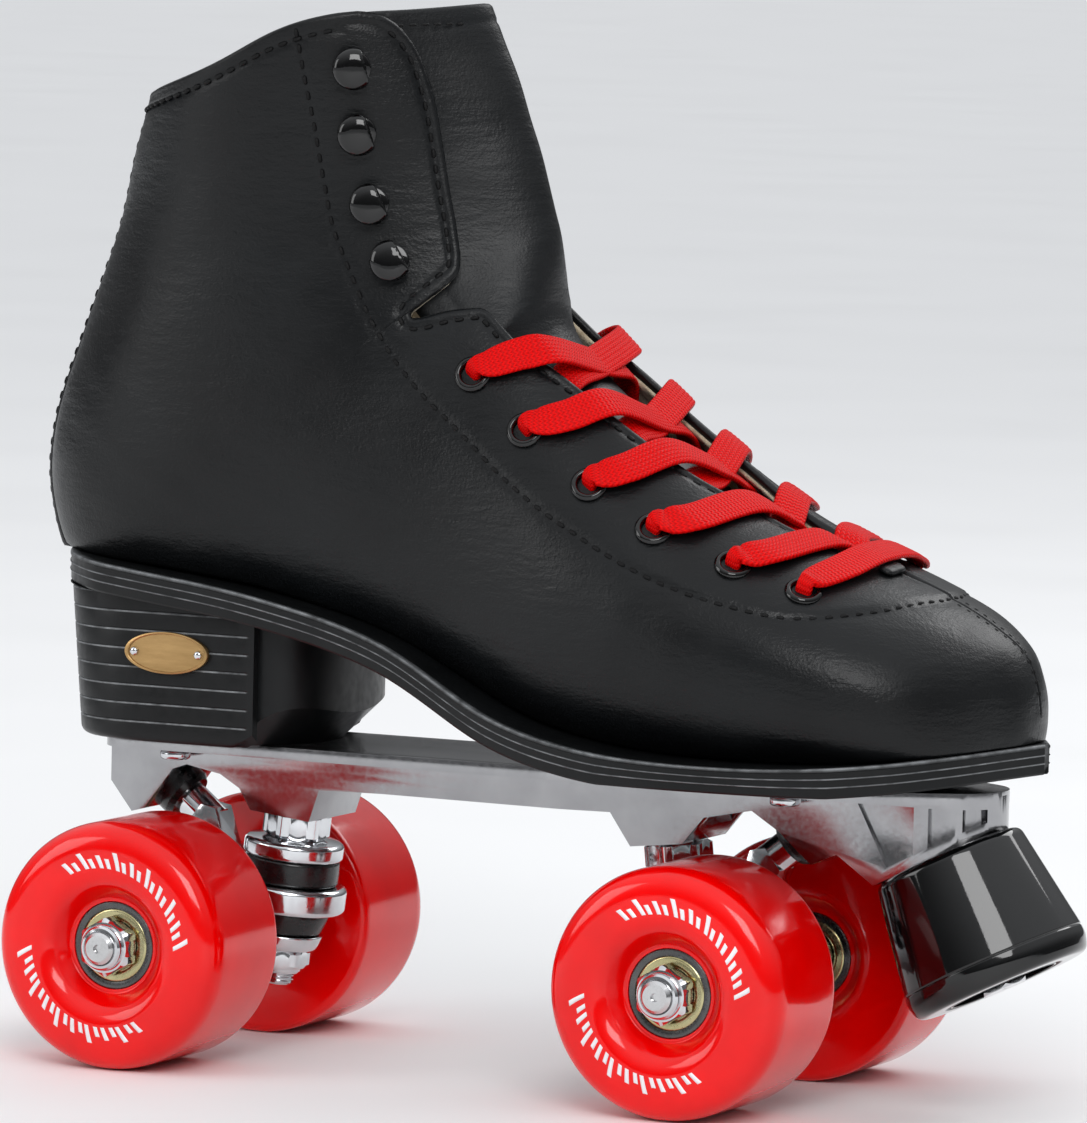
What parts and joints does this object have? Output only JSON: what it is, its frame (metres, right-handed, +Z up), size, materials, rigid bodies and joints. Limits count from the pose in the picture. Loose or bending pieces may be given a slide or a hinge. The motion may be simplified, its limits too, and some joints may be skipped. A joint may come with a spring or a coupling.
{
  "type": "quad roller skate",
  "caption": "Laced quad roller skate: black boot with heel on a metal plate, cushioned steering trucks, red wheels on ball bearings and a bolt-on toe stop.",
  "frame": {"origin": "middle of the bounding box, at the ground under the wheels", "axes": "+X to the toe, +Y to the skate's left, +Z up"},
  "size_m": [0.2838, 0.1252, 0.2664],
  "materials": {
    "black_leather": "satin synthetic leather with fine grain",
    "tongue_leather": "satin",
    "fleece_lining": "short brushed fleece",
    "footbed_fabric": "matte",
    "sole_black": "satin",
    "badge_brass": "satin",
    "black_enamel": "gloss enamel",
    "red_lace": "braided",
    "black_thread": "matte",
    "plate_alloy": "polished casting",
    "toe_stop_rubber": "gloss",
    "cushion_rubber": "satin",
    "red_urethane": "gloss",
    "bearing_zinc": "yellow zinc",
    "bearing_steel": "polished",
    "truck_chrome": "polished",
    "axle_steel": "zinc plated",
    "hardware_chrome": "polished"
  },
  "bodies": {
    "skate": {"upper_right": "black_leather", "upper_left": "black_leather", "backstay": "black_leather", "tongue": "tongue_leather", "lining": "fleece_lining", "footbed": "footbed_fabric", "outsole": "sole_black", "heel_block": "sole_black", "heel_wrap": "sole_black", "heel_badge": "badge_brass", "eyelets": "black_enamel", "lace_hooks": "black_enamel", "lace": "red_lace", "throat_tab": "black_thread", "plate": "plate_alloy", "mounting_screws": "hardware_chrome", "toe_stop": "toe_stop_rubber", "toe_stop_bolt": "hardware_chrome", "toe_stop_washer": "hardware_chrome", "front_kingpin": "hardware_chrome", "front_jam_nut": "hardware_chrome", "front_upper_washer": "hardware_chrome", "front_upper_cushion": "cushion_rubber", "front_lower_cushion": "cushion_rubber", "front_lower_washer": "hardware_chrome", "front_kingpin_nut": "hardware_chrome", "front_pivot_cup": "cushion_rubber", "rear_kingpin": "hardware_chrome", "rear_jam_nut": "hardware_chrome", "rear_upper_washer": "hardware_chrome", "rear_upper_cushion": "cushion_rubber", "rear_lower_cushion": "cushion_rubber", "rear_lower_washer": "hardware_chrome", "rear_kingpin_nut": "hardware_chrome", "rear_pivot_cup": "cushion_rubber"},
    "front_truck": {"front_hanger": "truck_chrome", "front_axle": "axle_steel", "front_axle_nuts": "axle_steel", "front_spacers": "axle_steel", "front_inner_races": "bearing_zinc"},
    "rear_truck": {"rear_hanger": "truck_chrome", "rear_axle": "axle_steel", "rear_axle_nuts": "axle_steel", "rear_spacers": "axle_steel", "rear_inner_races": "bearing_zinc"},
    "front_left_wheel": {"front_left_tyre": "red_urethane", "front_left_outer_races": "bearing_zinc", "front_left_balls": "bearing_steel"},
    "front_right_wheel": {"front_right_tyre": "red_urethane", "front_right_outer_races": "bearing_zinc", "front_right_balls": "bearing_steel"},
    "rear_left_wheel": {"rear_left_tyre": "red_urethane", "rear_left_outer_races": "bearing_zinc", "rear_left_balls": "bearing_steel"},
    "rear_right_wheel": {"rear_right_tyre": "red_urethane", "rear_right_outer_races": "bearing_zinc", "rear_right_balls": "bearing_steel"}
  },
  "joints": [
    {"name": "front_steer", "type": "hinge", "parent": "skate", "child": "front_truck", "pos_m": [0.0371, 0, 0.03984], "axis": [0.7823, 0, 0.6229], "range_deg": [-8, 8], "stiffness_Nm_per_rad": 50, "deforming": ["front_upper_cushion", "front_lower_cushion"]},
    {"name": "rear_steer", "type": "hinge", "parent": "skate", "child": "rear_truck", "pos_m": [-0.07319, 0, 0.03984], "axis": [-0.7823, 0, 0.6229], "range_deg": [-8, 8], "stiffness_Nm_per_rad": 50, "deforming": ["rear_upper_cushion", "rear_lower_cushion"]},
    {"name": "front_left_roll", "type": "hinge", "parent": "front_truck", "child": "front_left_wheel", "pos_m": [0.05795, 0.042, 0.031], "axis": [0, 1, 0], "continuous": true},
    {"name": "front_right_roll", "type": "hinge", "parent": "front_truck", "child": "front_right_wheel", "pos_m": [0.05795, -0.042, 0.031], "axis": [0, 1, 0], "continuous": true},
    {"name": "rear_left_roll", "type": "hinge", "parent": "rear_truck", "child": "rear_left_wheel", "pos_m": [-0.09405, 0.042, 0.031], "axis": [0, 1, 0], "continuous": true},
    {"name": "rear_right_roll", "type": "hinge", "parent": "rear_truck", "child": "rear_right_wheel", "pos_m": [-0.09405, -0.042, 0.031], "axis": [0, 1, 0], "continuous": true}
  ]
}
